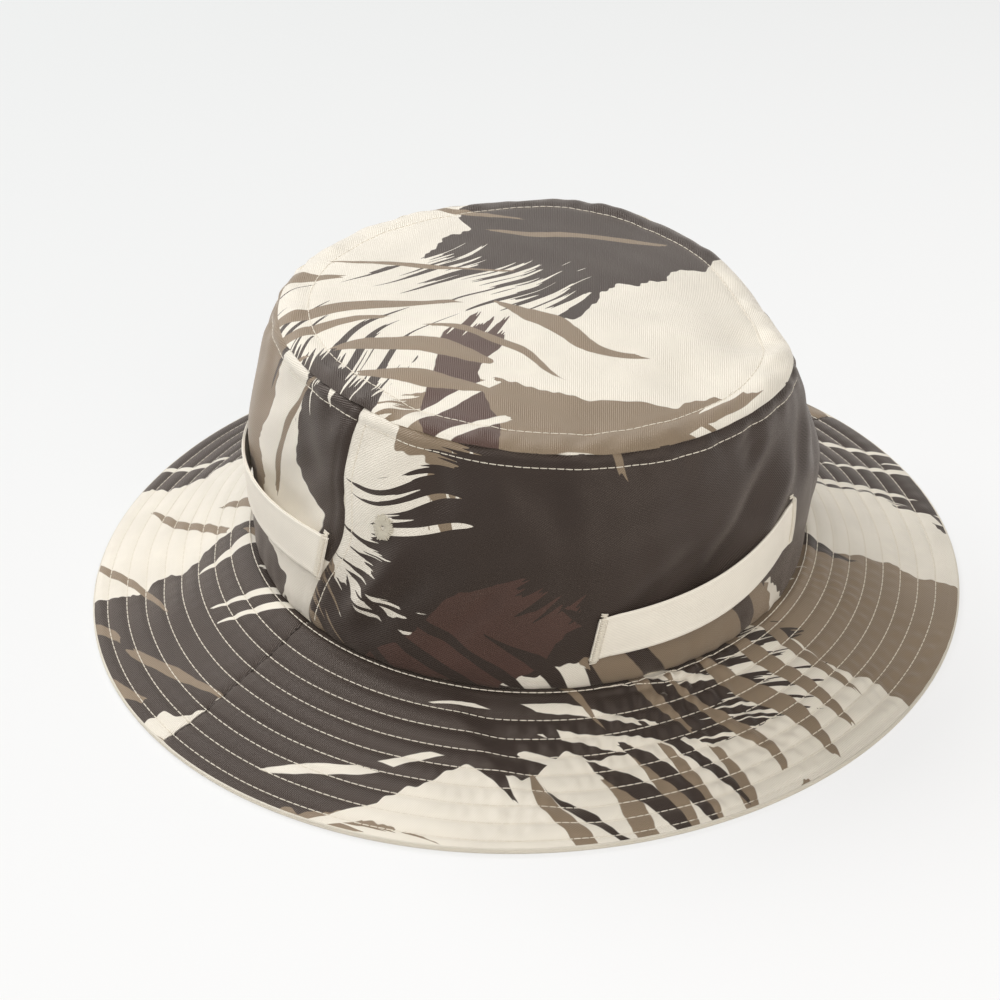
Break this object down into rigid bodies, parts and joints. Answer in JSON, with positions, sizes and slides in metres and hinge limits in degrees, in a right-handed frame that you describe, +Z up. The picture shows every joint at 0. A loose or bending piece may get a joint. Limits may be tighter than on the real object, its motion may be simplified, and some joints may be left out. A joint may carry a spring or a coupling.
{
  "type": "bucket hat",
  "caption": "Soft cotton bucket hat with a flared wall, a row-stitched stiffened brim, webbing loops round the wall, vent eyelets and an inner sweatband.",
  "frame": {"origin": "middle of the rim, on the surface that the rim stands on", "axes": "+Z up through the crown, -Y to the front of the hat, +X to the wearer's left"},
  "size_m": [0.3088, 0.2949, 0.1098],
  "materials": {
    "printed_twill": "matte cotton twill with a brush-stroke camouflage print in dark brown, taupe and cream",
    "plain_twill": "matte cream cotton twill",
    "interlining": "white woven interlining",
    "cotton_tape": "matte cream cotton tape",
    "webbing": "flat cream cotton webbing",
    "thread": "cream sewing thread with a slight sheen"
  },
  "bodies": {
    "root": {"crown_top": "printed_twill", "wall_front": "printed_twill", "wall_back": "printed_twill", "brim_top_front": "printed_twill", "brim_top_back": "printed_twill", "brim_under_front": "plain_twill", "brim_under_back": "plain_twill", "brim_stiffener_front": "interlining", "brim_stiffener_back": "interlining", "sweatband": "cotton_tape", "crown_seam_tape": "cotton_tape", "side_seam_tape_right": "cotton_tape", "side_seam_tape_left": "cotton_tape", "loop_front": "webbing", "loop_right": "webbing", "loop_left": "webbing", "tack_front_right": "thread", "tack_front_left": "thread", "tack_right_front": "thread", "tack_right_back": "thread", "tack_left_front": "thread", "tack_left_back": "thread", "eyelet_right": "thread", "eyelet_left": "thread"}
  },
  "joints": []
}
